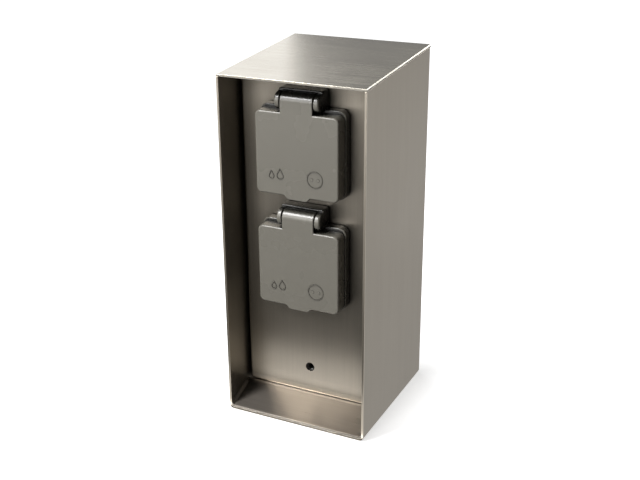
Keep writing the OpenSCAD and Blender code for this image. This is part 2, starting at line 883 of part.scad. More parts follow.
// Closing spring round the pin, drawn as a plain sleeve with its two legs
module lid_spring() {
    leg = sqrt(hood_bore * hood_bore - spring_r * spring_r) - lid_gap;
    color("silver")
        difference() {
            union() {
                rod_x(axis_y, axis_z, spring_l, spring_r);
                spring_leg(1, leg, 0);
                spring_leg(-1, barrel_r - leg_skin - slip, 0);
            }
            rod_x(axis_y, axis_z, spring_l + 2 * past, spring_r - spring_wire);
        }
}

// Moulded block behind the recess floor that holds the contacts
module contact_carrier() {
    color("whitesmoke")
        difference() {
            rod_y(0, 0, cup_back, contact_l, cup_r - cover_wall - slip);
            for (side = [-1, 1]) {
                rod_y(side * contact_pitch / 2, 0, cup_back - past, contact_l + 2 * past,
                      sleeve_out + slip);
                rod_y(side * cover_screw_x, 0, cup_back + carrier_skin, contact_l,
                      cover_screw_d / 2 + slip);
            }
            translate([-clip_w / 2 - slip, cup_back - past, -clip_span / 2 - clip_t - slip])
                cube([clip_w + 2 * slip, past + strip_t + slip, clip_span + 2 * clip_t + 2 * slip]);
            rod_y(0, 0, cup_back - past, contact_l + 2 * past, clip_w / 2 + slip);
        }
}

// The two contact sleeves, each with its wire clamp
module contact_sleeves() {
    color("goldenrod")
        for (side = [-1, 1]) {
            difference() {
                rod_y(side * contact_pitch / 2, 0, cup_back + sleeve_set, contact_l - sleeve_set,
                      sleeve_out);
                rod_y(side * contact_pitch / 2, 0, cup_back - past, contact_l + past, sleeve_in);
            }
            clamp(side * contact_pitch / 2, clamp_mid, 0, 1);
        }
}

// Earth contact: two clips in the recess, the strip that joins them and its wire clamp
module earth_clips() {
    color("goldenrod") {
        for (side = [-1, 1])
            translate([-clip_w / 2, recess_floor - clip_l, side * (clip_span + clip_t) / 2 - clip_t / 2])
                cube([clip_w, clip_l + cup_floor + strip_t, clip_t]);
        translate([-clip_w / 2, cup_back, -clip_span / 2 - clip_t / 2])
            cube([clip_w, strip_t, clip_span + clip_t]);
        rod_y(0, 0, cup_back, contact_l, clip_w / 2);
        clamp(0, clamp_mid, 0, 1);
    }
}

// The three clamp screws at the back of a socket
module clamp_screws() {
    color("gray")
        for (x = [-1, 0, 1] * contact_pitch / 2)
            clamp_screw(x, clamp_mid, 0, 1);
}

// Cap over the contacts, open where the wires pass
module rear_cover() {
    color("dimgray")
        difference() {
            rod_y(0, 0, cup_back, cover_back - cup_back, cup_r);
            rod_y(0, 0, cup_back - past, cover_inner - cup_back + past, cup_r - cover_wall);
            for (x = [-1, 0, 1] * contact_pitch / 2)
                translate([x, clamp_mid, -2 * cup_r])
                    cylinder(h = 4 * cup_r, r = wire_d / 2 + loose);
            for (side = [-1, 1])
                rod_y(side * cover_screw_x, 0, cover_inner - past, 2 * cover_wall + past,
                      cover_screw_d / 2 + slip);
        }
    color("dimgray")
        for (side = [-1, 1])
            difference() {
                rod_y(side * cover_screw_x, 0, carrier_back + slip, cover_inner - carrier_back,
                      cover_screw_d / 2 + post_wall);
                rod_y(side * cover_screw_x, 0, carrier_back - past, cover_back,
                      cover_screw_d / 2 + slip);
            }
}

// Two screws through the rear cover into the contact carrier
module cover_screws() {
    tip = cup_back + carrier_skin + loose;
    color("gray")
        for (side = [-1, 1]) {
            rod_y(side * cover_screw_x, 0, tip, cover_back - tip, cover_screw_d / 2);
            rod_y(side * cover_screw_x, 0, cover_back, screw_head_t, cover_screw_d * head_ratio);
        }
}

// Four screws that hold the socket on the panel
module fixing_screws() {
    head_face = frame_face + slip;
    shank = panel_sheet + nut_t + screw_end - head_face - screw_head_h;
    color("silver")
        for (sx = [-1, 1], sz = [-1, 1])
            translate([sx * screw_spacing / 2, 0, sz * screw_spacing / 2])
                difference() {
                    union() {
                        rod_y(0, 0, head_face, screw_head_h, screw_head_r);
                        rod_y(0, 0, head_face + screw_head_h - slip, shank + slip, screw_d / 2);
                    }
                    translate([-screw_head_r - past, head_face - past, -slot_w / 2])
                        cube([2 * screw_head_r + 2 * past, past + slot_w, slot_w]);
                }
}

// Nuts behind the panel on the four fixing screws
module fixing_nuts() {
    color("gray")
        for (sx = [-1, 1], sz = [-1, 1])
            translate([sx * screw_spacing / 2, panel_sheet + nut_t, sz * screw_spacing / 2])
                rotate([90, 0, 0])
                    difference() {
                        cylinder(h = nut_t, r = screw_d * nut_ratio, $fn = 6);
                        translate([0, 0, -past])
                            cylinder(h = nut_t + 2 * past, r = screw_d / 2 + pin_fit);
                    }
}

casing();
roof_plate();
sill();
front_panel();
panel_ledge();
fixing_bracket();
fixing_nut();
cable_grommet();
terminal_bracket();
bracket_screws();
terminal_housing();
terminal_clamps();
terminal_screws();
earth_stud();
earth_nut();
earth_lug();
bonding_wire();
live_wire();
neutral_wire();
earth_wire();
at_socket(1) socket_body();  // upper_socket_body
at_socket(1) recess_plate();  // upper_recess_plate
at_socket(1) gasket();  // upper_gasket
at_socket(1) lid();  // upper_lid
at_socket(1) lid_seal();  // upper_lid_seal
at_socket(1) hinge_pin();  // upper_hinge_pin
at_socket(1) lid_spring();  // upper_lid_spring
at_socket(1) contact_carrier();  // upper_contact_carrier
at_socket(1) contact_sleeves();  // upper_contact_sleeves
at_socket(1) earth_clips();  // upper_earth_clips
at_socket(1) clamp_screws();  // upper_clamp_screws
at_socket(1) rear_cover();  // upper_rear_cover
at_socket(1) cover_screws();  // upper_cover_screws
at_socket(1) fixing_screws();  // upper_fixing_screws
at_socket(1) fixing_nuts();  // upper_fixing_nuts
at_socket(0) socket_body();  // lower_socket_body
at_socket(0) recess_plate();  // lower_recess_plate
at_socket(0) gasket();  // lower_gasket
at_socket(0) lid();  // lower_lid
at_socket(0) lid_seal();  // lower_lid_seal
at_socket(0) hinge_pin();  // lower_hinge_pin
at_socket(0) lid_spring();  // lower_lid_spring
at_socket(0) contact_carrier();  // lower_contact_carrier
at_socket(0) contact_sleeves();  // lower_contact_sleeves
at_socket(0) earth_clips();  // lower_earth_clips
at_socket(0) clamp_screws();  // lower_clamp_screws
at_socket(0) rear_cover();  // lower_rear_cover
at_socket(0) cover_screws();  // lower_cover_screws
at_socket(0) fixing_screws();  // lower_fixing_screws
at_socket(0) fixing_nuts();  // lower_fixing_nuts
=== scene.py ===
# %% [markdown]
# # A garden socket column
# The object is a small free-standing column of brushed stainless steel. Its casing is open at the
# front, its roof slopes forward, and a set-back panel carries two splash-proof sockets with grey
# moulded lids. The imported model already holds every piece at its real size, so this lesson dresses
# it: it gives each sheet its brushed finish and its softened edges, and models the moulded lids and
# socket frames anew as smooth surfaces, because their fillets are what catches the light.

import math

import bmesh
import bpy
import numpy as np
from mathutils import Matrix, Vector
from mathutils.geometry import tessellate_polygon


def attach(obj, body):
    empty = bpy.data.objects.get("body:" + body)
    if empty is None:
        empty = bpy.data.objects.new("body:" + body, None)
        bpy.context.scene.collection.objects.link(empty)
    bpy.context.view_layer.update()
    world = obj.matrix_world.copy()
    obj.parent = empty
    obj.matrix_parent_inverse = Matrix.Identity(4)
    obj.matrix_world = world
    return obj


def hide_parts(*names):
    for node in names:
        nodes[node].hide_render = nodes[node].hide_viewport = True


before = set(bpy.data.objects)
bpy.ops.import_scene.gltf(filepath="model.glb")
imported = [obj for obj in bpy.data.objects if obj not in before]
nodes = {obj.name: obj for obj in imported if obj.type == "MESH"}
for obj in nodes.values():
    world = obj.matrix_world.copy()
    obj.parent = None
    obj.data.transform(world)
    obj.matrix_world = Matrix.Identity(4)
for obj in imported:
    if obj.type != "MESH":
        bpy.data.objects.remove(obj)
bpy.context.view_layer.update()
MM = 0.001

# %% [markdown]
# ## Camera
# The camera stands to the right of the column and a little above it, at eye height for something on
# a table. Its place, its target and its focal length were fitted to the column's own corners, so the
# numbers below are real lengths in the column's frame. A camera looks along its own -Z axis, so its
# rotation is built from three perpendicular directions: right, up and backwards.

# %% Camera
CAMERA_PLACE = np.array([272.0, -565.6, 360.8]) * MM
CAMERA_TARGET = np.array([0.2, -12.0, 118.1]) * MM
CAMERA_ROLL = math.radians(-0.35)
FOCAL_LENGTH = 56.54

forward = CAMERA_TARGET - CAMERA_PLACE
forward /= np.linalg.norm(forward)
level = np.cross(forward, [0, 0, 1])
level /= np.linalg.norm(level)
over = np.cross(level, forward)
right = level * math.cos(CAMERA_ROLL) + over * math.sin(CAMERA_ROLL)
up = over * math.cos(CAMERA_ROLL) - level * math.sin(CAMERA_ROLL)
turned_so = Matrix(np.array([right, up, -forward]).T).to_4x4()
camera = bpy.data.objects.new("camera", bpy.data.cameras.new("camera"))
bpy.context.scene.collection.objects.link(camera)
camera.matrix_world = Matrix.Translation(CAMERA_PLACE) @ turned_so
camera.data.lens = FOCAL_LENGTH
bpy.context.scene.camera = camera
print("camera distance in mm:", round(np.linalg.norm(CAMERA_TARGET - CAMERA_PLACE) / MM))

# %% [markdown]
# ## Helpers that turn arrays into meshes
# A moulded part is easiest to describe as rings: the same closed outline, repeated at different
# depths and insets, like the contour lines of a hill. Joining ring to ring gives the walls and the
# fillets, and a flat face closes each end. All points of a shape are worked out at once as arrays.

# %% Outlines
def rounded_outline(corners, radii, steps=8):
    """Closed outline of a polygon whose corners are arcs, with its outward normals.

    For each corner the arc touches both edges at radius * tan(turn / 2) from the corner. Its points
    are centre + side * radius * normal, and the normal turns evenly from one edge's to the next
    one's; side is -1 where the polygon turns inwards. The corners run anticlockwise."""
    corners = np.asarray(corners, float)
    radii = np.broadcast_to(np.asarray(radii, float), len(corners))
    before = corners - np.roll(corners, 1, 0)
    before /= np.linalg.norm(before, axis=1)[:, None]
    after = np.roll(before, -1, 0)
    turn = np.arctan2(before[:, 0] * after[:, 1] - before[:, 1] * after[:, 0], (before * after).sum(1))
    side = np.sign(turn)
    start_normal = np.stack([before[:, 1], -before[:, 0]], 1)
    touch = corners - before * (radii * np.tan(np.abs(turn) / 2))[:, None]
    centre = touch - start_normal * (side * radii)[:, None]
    angle = turn[:, None] * np.linspace(0, 1, steps + 1)[None, :]
    cos, sin = np.cos(angle), np.sin(angle)
    normal = np.stack([start_normal[:, :1] * cos - start_normal[:, 1:] * sin,
                       start_normal[:, :1] * sin + start_normal[:, 1:] * cos], -1)
    points = centre[:, None] + (side * radii)[:, None, None] * normal
    return points.reshape(-1, 2), normal.reshape(-1, 2)


def arc(centre, radius, start, end, steps, hollow=False):
    """Points of a circle's arc between two angles in degrees, with normals that point away from the
    centre, or towards it where the arc is hollow: centre + radius * (cos angle, sin angle)."""
    angle = np.radians(np.linspace(start, end, steps + 1))
    normal = np.stack([np.cos(angle), np.sin(angle)], 1)
    return np.asarray(centre) + radius * normal, -normal if hollow else normal


def straight(*points_and_normal):
    """Points on a straight stretch, in order, all with the normal that is given last."""
    *points, normal = points_and_normal
    return np.array(points, float), np.tile(np.array(normal, float), (len(points), 1))


def joined(*stretches):
    """One closed outline from several stretches of points and normals, in order."""
    return np.concatenate([s[0] for s in stretches]), np.concatenate([s[1] for s in stretches])


# %% Shells
def fillet(radius, depth, steps=4):
    """Profile of a quarter-round edge as rows of (inset, depth): the inset is size * (1 - sin t) and
    the depth is depth + radius * (1 - cos t), with t from 0 on the face to 90 degrees on the wall.
    The size is the radius without its sign, and a negative radius turns the edge the other way."""
    t = np.linspace(0, math.pi / 2, steps + 1)
    size = abs(radius)
    return np.stack([size * (1 - np.sin(t)), depth + radius * (1 - np.cos(t))], 1)


def rings(outline, profile):
    """Stack of rings: ring i is the outline moved inwards along its normals by the profile's inset
    i, at the profile's depth i. Returns an array (rings, points, 3) of (a, b, depth)."""
    points, normals = outline
    profile = np.asarray(profile, float)
    flat = points[None] - profile[:, None, :1] * normals[None]
    return np.concatenate([flat, np.broadcast_to(profile[:, None, 1:], (*flat.shape[:2], 1))], 2)


def shell(stack, close_ends=True, loop=False):
    """Faces of a stack of rings: a quad between each pair of neighbours on each pair of rings, a
    flat face on each end, or a last strip back to the first ring where it is a loop."""
    count, size = stack.shape[:2]
    if loop:
        count += 1
        close_ends = False
    ring, point = np.meshgrid(np.arange(count - 1), np.arange(size), indexing="ij")
    here, there = ring * size, (ring + 1) % stack.shape[0] * size
    on = (point + 1) % size
    quads = np.stack([here + point, there + point, there + on, here + on], -1).reshape(-1, 4)
    faces = quads.tolist()
    if close_ends:
        faces.append(list(range(size)))
        faces.append(list(range((count - 1) * size, count * size))[::-1])
    return stack.reshape(-1, 3), faces


def turned(part, axes):
    """Puts a part's (a, b, depth) columns on the given world axes."""
    points, faces = part
    world = np.zeros_like(points)
    world[:, list(axes)] = points
    return world, faces


def moved(parts, height):
    """The same parts raised by height millimetres."""
    return [(points + [0, 0, height], faces) for points, faces in parts]


SAME_POINT = 0.0005
SHARP_FOLD = 35


def piece(name, parts, body, stands_for, material):
    """One object from several closed parts given in millimetres. Points less than SAME_POINT apart
    are merged, the normals are recalculated on each closed part, and the flats are weighted so that
    only the fillets look round. It rides on the named body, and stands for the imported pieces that
    it replaces."""
    points = np.concatenate([p for p, _ in parts]) * MM
    starts = np.cumsum([0] + [len(p) for p, _ in parts[:-1]])
    faces = [[v + start for v in face] for start, (_, f) in zip(starts, parts) for face in f]
    mesh = bpy.data.meshes.new(name)
    mesh.from_pydata(points, [], faces)
    work = bmesh.new()
    work.from_mesh(mesh)
    bmesh.ops.remove_doubles(work, verts=work.verts, dist=SAME_POINT * MM)
    bmesh.ops.recalc_face_normals(work, faces=work.faces)
    work.to_mesh(mesh)
    work.free()
    mesh.shade_smooth()
    mesh.set_sharp_from_angle(angle=math.radians(SHARP_FOLD))
    made = bpy.data.objects.new(name, mesh)
    bpy.context.scene.collection.objects.link(made)
    made.modifiers.new("weighted normals", "WEIGHTED_NORMAL").keep_sharp = True
    made.data.materials.append(material)
    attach(made, body)
    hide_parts(*stands_for)
    print(name, "faces:", len(mesh.polygons))
    return made


# %% [markdown]
# ## Brushed steel
# The sheets are stainless steel, ground with a belt so that fine lines run one way. The lines could be
# painted as an image, but a noise texture squeezed across the grain and drawn out along it does the
# same at any size, and stays put because it reads the sheet's own coordinates. Reflections smear
# across the lines, so the shader is anisotropic, and its tangent runs across the grain. Light and shade
# are also painted into the colour. A band on one axis of a sheet is a painted highlight that makes a
# fold or a cut edge brighter, and one such band is painted shade on the sill's right end. An Ambient
# Occlusion node with a short reach paints shade where two surfaces close each other in.

# %% Material helpers
def new_material(name):
    """An empty node material with one Principled shader; returns it, its tree and the shader."""
    material = bpy.data.materials.new(name)
    material.use_nodes = True
    tree = material.node_tree
    return material, tree, tree.nodes["Principled BSDF"]


def add(tree, kind, **settings):
    """Adds a shader node and sets its properties; a setting that names an input sets that input."""
    node = tree.nodes.new(kind)
    for key, value in settings.items():
        if hasattr(node, key):
            setattr(node, key, value)
        else:
            node.inputs[key.replace("_", " ")].default_value = value
    return node


def bare_material(name):
    """A node material with no node in it yet; returns it and its tree."""
    material, tree, _ = new_material(name)
    tree.nodes.clear()
    return material, tree


EVEN = (1, 1, 1)


def stretched_noise(tree, stretch, scale, detail=4, seed=0.0):
    """Noise on Object coordinates multiplied by stretch, so a small number gives long streaks. The
    seed shifts it, so that two noises on one sheet differ."""
    place = add(tree, "ShaderNodeTexCoord")
    mapping = add(tree, "ShaderNodeMapping", Scale=stretch, Location=(seed, seed, seed))
    noise = add(tree, "ShaderNodeTexNoise", Scale=scale, Detail=detail, Roughness=0.6)
    tree.links.new(place.outputs["Object"], mapping.inputs["Vector"])
    tree.links.new(mapping.outputs["Vector"], noise.inputs["Vector"])
    return noise.outputs["Fac"]


def remap(tree, value, low, high, start=0.3, end=0.7):
    """Carries value from the range start to end on to the range low to high."""
    node = add(tree, "ShaderNodeMapRange")
    for socket, number in zip(node.inputs[1:5], (start, end, low, high)):
        socket.default_value = number
    tree.links.new(value, node.inputs["Value"])
    return node.outputs["Result"]


def ramp(tree, value, low, high, start=0.3, end=0.7):
    """Colour between low and high as value goes from start to end."""
    node = add(tree, "ShaderNodeValToRGB")
    for element, spot, colour in zip(node.color_ramp.elements, (start, end), (low, high)):
        element.position = spot
        element.color = (*colour, 1)
    tree.links.new(value, node.inputs["Fac"])
    return node.outputs["Color"]


def bump(tree, shader, value, strength, height):
    """Bumps the shader's normal by value, up to height in metres."""
    node = add(tree, "ShaderNodeBump", Strength=strength, Distance=height)
    tree.links.new(value, node.inputs["Height"])
    tree.links.new(node.outputs["Normal"], shader.inputs["Normal"])


def scaled(tree, colour, factor):
    """Colour multiplied by a factor."""
    node = add(tree, "ShaderNodeVectorMath", operation="SCALE")
    tree.links.new(colour, node.inputs[0])
    tree.links.new(factor, node.inputs["Scale"])
    return node.outputs["Vector"]


def closeness(tree, reach, least, most, closed, open_air):
    """Number that goes from open_air down to closed where surfaces within reach metres close a place
    in, as the share of open directions falls from most to least."""
    near = add(tree, "ShaderNodeAmbientOcclusion", samples=6, Distance=reach)
    return remap(tree, near.outputs["AO"], closed, open_air, least, most)


def blended(tree, first, second, share):
    """Number between two others: share of the way from the first to the second."""
    node = add(tree, "ShaderNodeMix", data_type="FLOAT")
    node.inputs[0].default_value = share
    tree.links.new(first, node.inputs[2])
    tree.links.new(second, node.inputs[3])
    return node.outputs[0]


# %% Brushed steel
STEEL = np.array([0.325, 0.292, 0.244])
STREAK_SCALE, BAND_SCALE, CLOUD_SCALE = 1400, 160, 14
STREAK_STRETCH, BAND_STRETCH = 0.012, 0.05
TONE_LOW, TONE_HIGH = 0.93, 1.06


def brushed_steel(name, grain, colour=STEEL, rough=(0.29, 0.36), anisotropy=0.6, painted_bands=(),
                  painted_shade=False):
    """Steel with its lines along the axis grain: long streaks of tone and roughness along it, a
    faint cloudiness, fine ridges, and a tangent across it, which is the axis crossed with the
    normal. Each painted band is (axis, near, far, gain), a painted highlight where the gain is above 1
    and painted shade where it is below: the colour is multiplied by the gain up to near and by 1
    beyond far, both in metres on that axis, with a straight change between them. Painted shade also
    multiplies the colour by less than 1 where other surfaces are close."""
    material, tree, shader = new_material(name)
    along = np.eye(3)[grain]
    streak = stretched_noise(tree, tuple(np.where(along > 0, STREAK_STRETCH, 1.0)), STREAK_SCALE)
    band = stretched_noise(tree, tuple(np.where(along > 0, BAND_STRETCH, 1.0)), BAND_SCALE, seed=3.1)
    cloud = stretched_noise(tree, EVEN, CLOUD_SCALE, detail=2, seed=7.7)
    tint = ramp(tree, blended(tree, streak, band, 0.35), colour * TONE_LOW, colour * TONE_HIGH)
    if painted_shade:
        # Painted shade: the colour is darker where surfaces within 18 mm close the sheet in.
        shade_factor = closeness(tree, reach=0.018, least=0.3, most=1.0, closed=0.25, open_air=1.0)
        tint = scaled(tree, tint, shade_factor)
    # Painted highlight along one axis, or painted shade where the gain is below 1.
    for axis, near, far, gain in painted_bands:
        place = add(tree, "ShaderNodeTexCoord")
        split = add(tree, "ShaderNodeSeparateXYZ")
        tree.links.new(place.outputs["Object"], split.inputs[0])
        tint = scaled(tree, tint, remap(tree, split.outputs[axis], gain, 1.0, near, far))
    tree.links.new(tint, shader.inputs["Base Color"])
    blur = blended(tree, streak, cloud, 0.5)
    tree.links.new(remap(tree, blur, *rough), shader.inputs["Roughness"])
    geometry = add(tree, "ShaderNodeNewGeometry")
    across = add(tree, "ShaderNodeVectorMath", operation="CROSS_PRODUCT")
    across.inputs[0].default_value = tuple(along)
    tree.links.new(geometry.outputs["Normal"], across.inputs[1])
    tree.links.new(across.outputs["Vector"], shader.inputs["Tangent"])
    bump(tree, shader, streak, strength=0.10, height=0.00002)
    shader.inputs["Metallic"].default_value = 1
    shader.inputs["Anisotropic"].default_value = anisotropy
    return material


# %% The four brushed sheets, and their bands of painted highlight and painted shade in metres
ALONG_X, ALONG_Y, ALONG_Z = 0, 1, 2
# Painted highlights on the casing's front edge, the panel's foot and the sill's front and rear; painted shade
# on the sill's right end.
CASING_FRONT_HIGHLIGHT = (ALONG_Y, -0.0518, -0.0512, 1.9)
PANEL_FOOT_HIGHLIGHT = (ALONG_Z, 0.0132, 0.0170, 2.4)
SILL_FRONT_HIGHLIGHT = (ALONG_Y, -0.0517, -0.0511, 1.9)
SILL_REAR_HIGHLIGHT = (ALONG_Y, -0.0277, -0.0290, 2.5)
SILL_RIGHT_SHADE = (ALONG_X, 0.046, 0.004, 0.62)
ROOF_STEEL = np.array([0.318, 0.298, 0.258])
# The sill's steel is the same steel painted about half as bright, as painted shade.
SHADED_SILL_STEEL = np.array([0.176, 0.158, 0.138])
PANEL_GAIN = 1.42

casing_steel = brushed_steel("casing_steel", ALONG_Z, painted_bands=[CASING_FRONT_HIGHLIGHT])
roof_steel = brushed_steel("roof_steel", ALONG_X, colour=ROOF_STEEL, rough=(0.15, 0.31), anisotropy=0.9)
panel_steel = brushed_steel("panel_steel", ALONG_Z, colour=STEEL * PANEL_GAIN, rough=(0.30, 0.37),
                            painted_bands=[PANEL_FOOT_HIGHLIGHT], painted_shade=True)
sill_steel = brushed_steel("sill_steel", ALONG_X, colour=SHADED_SILL_STEEL, rough=(0.27, 0.32),
                           anisotropy=0.75, painted_bands=[SILL_FRONT_HIGHLIGHT, SILL_REAR_HIGHLIGHT, SILL_RIGHT_SHADE])
print("steel:", [m.name for m in (casing_steel, roof_steel, panel_steel, sill_steel)])

# %% [markdown]
# ## Plastic, rubber and small metals
# The sockets are moulded in a grey plastic with a fine spark-eroded grain, which a small bump and a
# slightly uneven roughness give, and painted shade makes it darker where the lids and frames close it
# in. Rubber is darker and duller. Brass and the plain fasteners behind the panel are turned parts, so
# their streaks run round them, which noise along X does well enough.

# %% Moulded materials
FINE_GRAIN = 3500


def moulded(name, colour, rough, grain=0.00003, spread=0.07, painted_shade=False):
    """Plastic or rubber: colour with a faint cloudiness, roughness that wanders, and a fine grain.
    The tone goes from colour * (1 - spread) to colour * (1 + spread), and painted shade darkens it
    where other surfaces are close."""
    material, tree, shader = new_material(name)
    colour = np.array(colour)
    cloud = stretched_noise(tree, EVEN, scale=30, detail=3, seed=1.7)
    fine = stretched_noise(tree, EVEN, scale=FINE_GRAIN, detail=2, seed=5.3)
    tone = ramp(tree, cloud, colour * (1 - spread), colour * (1 + spread))
    if painted_shade:
        # Painted shade: darker where surfaces within 20 mm close the plastic in, and open faces dimmed to
        # 0.85.
        shade_factor = closeness(tree, reach=0.02, least=0.67, most=0.88, closed=0.06, open_air=0.85)
        tone = scaled(tree, tone, shade_factor)
    tree.links.new(tone, shader.inputs["Base Color"])
    tree.links.new(remap(tree, cloud, rough - 0.015, rough + 0.02), shader.inputs["Roughness"])
    bump(tree, shader, fine, strength=0.25, height=grain)
    shader.inputs["Specular IOR Level"].default_value = 0.45
    return material


def turned_metal(name, colour, rough):
    """Metal of a small turned or rolled part, with streaks of tone and roughness."""
    material, tree, shader = new_material(name)
    colour = np.array(colour)
    streak = stretched_noise(tree, (0.1, 1, 1), scale=2200, seed=2.9)
    tree.links.new(ramp(tree, streak, colour * 0.85, colour * 1.1), shader.inputs["Base Color"])
    tree.links.new(remap(tree, streak, rough - 0.06, rough + 0.08), shader.inputs["Roughness"])
    bump(tree, shader, streak, strength=0.15, height=0.00002)
    shader.inputs["Metallic"].default_value = 1
    return material


grey_plastic = moulded("grey_plastic", (0.246, 0.232, 0.197), 0.27, spread=0.015, painted_shade=True)
pale_plastic = moulded("pale_plastic", (0.66, 0.64, 0.58), 0.45)
rubber = moulded("rubber", (0.022, 0.022, 0.021), 0.62, grain=0.00005)
brass = turned_metal("brass", (0.62, 0.43, 0.16), 0.28)
fastener_steel = turned_metal("fastener_steel", (0.42, 0.41, 0.39), 0.30)
bracket_steel = turned_metal("bracket_steel", (0.36, 0.35, 0.33), 0.42)
spring_steel = turned_metal("spring_steel", (0.34, 0.34, 0.34), 0.25)
live_insulation = moulded("live_insulation", (0.14, 0.045, 0.018), 0.42)
neutral_insulation = moulded("neutral_insulation", (0.02, 0.10, 0.42), 0.42)


# %% Striped insulation of the earth wires
def striped(name, green, yellow, rough, scale):
    """Plastic in two colours in slanted bands: yellow where the sine of 10 * scale * (x + y + z) is
    above its middle, and green elsewhere."""
    material, tree, shader = new_material(name)
    place = add(tree, "ShaderNodeTexCoord")
    wave = add(tree, "ShaderNodeTexWave", wave_type="BANDS", bands_direction="DIAGONAL", Scale=scale)
    tree.links.new(place.outputs["Object"], wave.inputs["Vector"])
    tree.links.new(ramp(tree, wave.outputs["Fac"], green, yellow, 0.48, 0.52), shader.inputs["Base Color"])
    fine = stretched_noise(tree, EVEN, scale=FINE_GRAIN, detail=2)
    bump(tree, shader, fine, strength=0.2, height=0.00003)
    shader.inputs["Roughness"].default_value = rough
    return material


earth_insulation = striped("earth_insulation", green=(0.05, 0.22, 0.04), yellow=(0.62, 0.50, 0.04),
                           rough=0.42, scale=60)
print("plastics:", grey_plastic.name, pale_plastic.name, rubber.name)

# %% [markdown]
# ## The sheet-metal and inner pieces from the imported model
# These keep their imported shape. A real folded edge or cut edge is never perfectly sharp, and it is the
# thin bright line along it that tells the eye it is metal. A Bevel modifier gives each edge that
# line. The mesh arrives as triangles, so it is first welded and its flats are dissolved back to whole
# faces, and at the end the normals are weighted so that the flats stay flat. The roof has bevels
# already, ground along its edges, so it gets two widths: one for the folds of 50 degrees and more, and a
# finer one for the flatter folds that bound those bevels.

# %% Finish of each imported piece: its material and the width of its bevel in millimetres
FINISH = {
    "casing": (casing_steel, 0.35), "roof_plate": (roof_steel, 0.20, 50, 0.06), "sill": (sill_steel, 0.55),
    "front_panel": (panel_steel, 0.30), "panel_ledge": (bracket_steel, 0.20),
    "fixing_bracket": (bracket_steel, 0.20), "fixing_nut": (fastener_steel, 0.15),
    "cable_grommet": (rubber, 0.25), "terminal_bracket": (bracket_steel, 0.20),
    "bracket_screws": (fastener_steel, 0.10), "terminal_housing": (pale_plastic, 0.25),
    "terminal_clamps": (brass, 0.10), "terminal_screws": (fastener_steel, 0.10),
    "earth_stud": (brass, 0.10), "earth_nut": (brass, 0.10), "earth_lug": (brass, 0.10),
    "bonding_wire": (earth_insulation, 0), "live_wire": (live_insulation, 0),
    "neutral_wire": (neutral_insulation, 0), "earth_wire": (earth_insulation, 0),
}
SOCKET_FINISH = {
    "socket_body": (grey_plastic, 0.30), "recess_plate": (grey_plastic, 0.15), "gasket": (rubber, 0.15),
    "lid": (grey_plastic, 0.30), "lid_seal": (rubber, 0.30), "hinge_pin": (fastener_steel, 0.15),
    "lid_spring": (spring_steel, 0), "contact_carrier": (pale_plastic, 0.20),
    "contact_sleeves": (brass, 0.10), "earth_clips": (brass, 0.12), "clamp_screws": (fastener_steel, 0.10),
    "rear_cover": (grey_plastic, 0.25), "cover_screws": (fastener_steel, 0.10),
    "fixing_screws": (fastener_steel, 0.15), "fixing_nuts": (fastener_steel, 0.15),
}
for place in ("upper", "lower"):
    FINISH.update({f"{place}_{name}": finish for name, finish in SOCKET_FINISH.items()})
print("finishes:", len(FINISH))

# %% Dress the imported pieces
LEAST_FOLD = 32
WELD_REACH = 0.002
FLAT_WITHIN = 0.6


def dress(name, material, edge, square_fold=LEAST_FOLD, finer_edge=0):
    """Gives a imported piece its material, and softens each fold of square_fold degrees or more by a
    bevel of edge millimetres. The folds between LEAST_FOLD and that get a bevel of finer_edge."""
    thing = nodes[name]
    thing.data.materials.clear()
    thing.data.materials.append(material)
    weld = thing.modifiers.new("weld", "WELD")
    weld.merge_threshold = WELD_REACH * MM
    flats = thing.modifiers.new("whole flats", "DECIMATE")
    flats.decimate_type = "DISSOLVE"
    flats.angle_limit = math.radians(FLAT_WITHIN)
    for width, fold in ((edge, square_fold), (finer_edge, LEAST_FOLD)):
        if not width:
            continue
        soft = thing.modifiers.new("soft edges", "BEVEL")
        soft.width = width * MM
        soft.segments = 3
        soft.limit_method = "ANGLE"
        soft.angle_limit = math.radians(fold)
        soft.use_clamp_overlap = True
        soft.miter_outer = "MITER_ARC"
    thing.modifiers.new("weighted normals", "WEIGHTED_NORMAL").weight = 80
    thing.data.shade_smooth()


for name in nodes:
    dress(name, *FINISH[name])
print("dressed:", len(nodes))

# %% [markdown]
# ## Lids
# Each lid is one moulding: a shallow cap, a tongue that runs up from its face without a step, and the
# barrel that the tongue rolls into. It could be cut out of blocks, but its look is all in its small
# even fillets, so each form is a stack of rings. The tongue and the thumb tab start inside the cap,
# a hundredth of a millimetre behind its face, so the face runs on over them with no seam.

# %% Sizes that the sockets share, in millimetres
SOCKET_HEIGHTS = {"upper": 184.7, "lower": 109.7}
LID_HALF, LID_TOP, LID_FOOT = 28.35, 25.85, -27.15
LID_FACE, LID_REAR, LID_WALL = -43.85, -35.0, 1.8
AXIS_DEPTH, AXIS_HEIGHT = -38.0, 32.25
BARREL_RADIUS, BARREL_HALF = 5.85, 11.1
FLUSH = 0.01
XZY = (0, 2, 1)
YZX = (1, 2, 0)


def rectangle(left, low, right_side, high):
    """Corners of a rectangle, anticlockwise from the lower left."""
    return [(left, low), (right_side, low), (right_side, high), (left, high)]


print("lid in mm:", 2 * LID_HALF, "by", LID_TOP - LID_FOOT, "face", LID_FACE)

# %% Lid cap, tongue, barrel and thumb tab
LID_CORNER, LID_EDGE, LIP_EDGE, LID_DRAFT = 3.6, 1.1, 0.25, 0.3
TONGUE_THICKNESS, TONGUE_ROOT, TONGUE_START, BARREL_EDGE = 3.2, 3.0, 0.2, 0.7
TAB_TIP_HALF, TAB_ROOT_HALF, TAB_EDGE = 6.5, 9.5, 0.5
TAB_DROP, TAB_SHOULDER, TAB_ROOT = 2.2, 0.8, 2.0
TAB_RADII = (1.2, 1.2, 0.6, 0.3, 0.3, 0.6)


